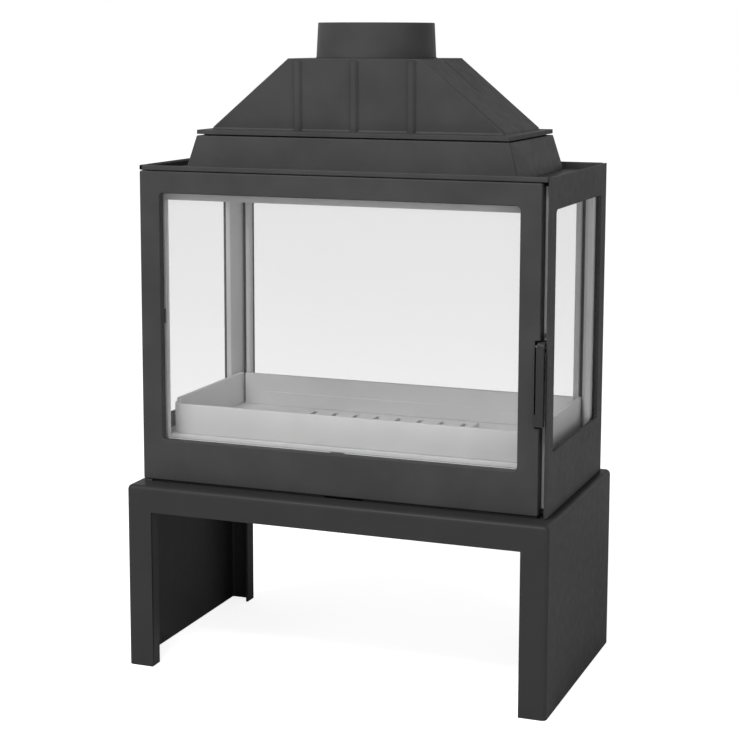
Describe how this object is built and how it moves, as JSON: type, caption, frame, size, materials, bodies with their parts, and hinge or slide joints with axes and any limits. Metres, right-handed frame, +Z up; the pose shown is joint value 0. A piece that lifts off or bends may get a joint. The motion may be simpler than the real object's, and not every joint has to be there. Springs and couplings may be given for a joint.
{
  "type": "wood burning stove",
  "caption": "See-through cast-iron wood stove with glass on all sides, a side-hung door, a ribbed smoke hood and a flue collar, on a folded steel bench.",
  "frame": {"origin": "on the floor, at the middle of the bench", "axes": "+X to the right as seen from the door side, -Y out of the door side, +Z up"},
  "size_m": [0.728, 0.408, 1.0753],
  "materials": {
    "cast_black": "matt anthracite stove paint on fine sand-cast iron",
    "sheet_black": "matt anthracite powder coat on folded sheet steel",
    "cast_grey": "matt light grey heat-resistant coat on cast iron",
    "steel_fastener": "dark zinc-plated steel",
    "rope_seal": "braided glass-fibre rope and tape",
    "pane_glass": "clear glass ceramic"
  },
  "bodies": {
    "stove": {"firebox_base": "cast_black", "left_side_frame": "cast_black", "right_side_frame": "cast_black", "rear_frame": "cast_black", "top_casting": "cast_black", "hood_base": "cast_black", "smoke_dome": "cast_black", "flue_collar": "cast_black", "bench_top": "sheet_black", "bench_left_side": "sheet_black", "bench_right_side": "sheet_black", "air_slide_guide_front": "sheet_black", "air_slide_guide_rear": "sheet_black", "front_frame": "cast_grey", "corner_bar_left": "cast_grey", "corner_bar_right": "cast_grey", "front_glass_bar_left": "cast_grey", "front_glass_bar_right": "cast_grey", "rear_glass_bar_left": "cast_grey", "rear_glass_bar_right": "cast_grey", "baffle_plate": "cast_grey", "baffle_bracket_left": "cast_grey", "baffle_bracket_right": "cast_grey", "hearth_plate": "cast_grey", "front_log_guard": "cast_grey", "left_log_guard": "cast_grey", "right_log_guard": "cast_grey", "rear_log_guard": "cast_grey", "bench_bolt_1": "steel_fastener", "bench_bolt_2": "steel_fastener", "bench_bolt_3": "steel_fastener", "bench_bolt_4": "steel_fastener", "hinge_pin_upper": "steel_fastener", "hinge_pin_lower": "steel_fastener", "latch_keeper": "steel_fastener", "hood_gasket": "rope_seal", "left_glass": "pane_glass", "right_glass": "pane_glass", "rear_glass": "pane_glass"},
    "door": {"door_frame": "cast_black", "door_glass": "pane_glass", "door_glass_tape": "rope_seal", "door_rope_gasket": "rope_seal", "handle_pin": "steel_fastener", "door_glass_clip_1": "steel_fastener", "door_glass_clip_2": "steel_fastener", "door_glass_clip_3": "steel_fastener", "door_glass_clip_4": "steel_fastener", "door_clip_screw_1": "steel_fastener", "door_clip_screw_2": "steel_fastener", "door_clip_screw_3": "steel_fastener", "door_clip_screw_4": "steel_fastener"},
    "handle": {"handle_lever": "sheet_black"},
    "ash_pan": {"ash_pan": "sheet_black"},
    "grate": {"grate": "cast_grey"},
    "air_slide": {"air_slide": "sheet_black"}
  },
  "joints": [
    {"name": "door_swing", "type": "hinge", "parent": "stove", "child": "door", "pos_m": [-0.3435, -0.162, 0.58], "axis": [0, 0, -1], "range_deg": [0, 110]},
    {"name": "handle_pull", "type": "hinge", "parent": "door", "child": "handle", "pos_m": [0.3375, -0.1625, 0.5815], "axis": [-1, 0, 0], "range_deg": [0, 35]},
    {"name": "ash_pan_lift", "type": "slide", "parent": "stove", "child": "ash_pan", "axis": [0, 0, 1], "range_m": [0, 0.12]},
    {"name": "grate_lift", "type": "slide", "parent": "ash_pan", "child": "grate", "axis": [0, 0, 1], "range_m": [0, 0.15]},
    {"name": "air_slide_move", "type": "slide", "parent": "stove", "child": "air_slide", "axis": [1, 0, 0], "range_m": [0, 0.032]}
  ]
}
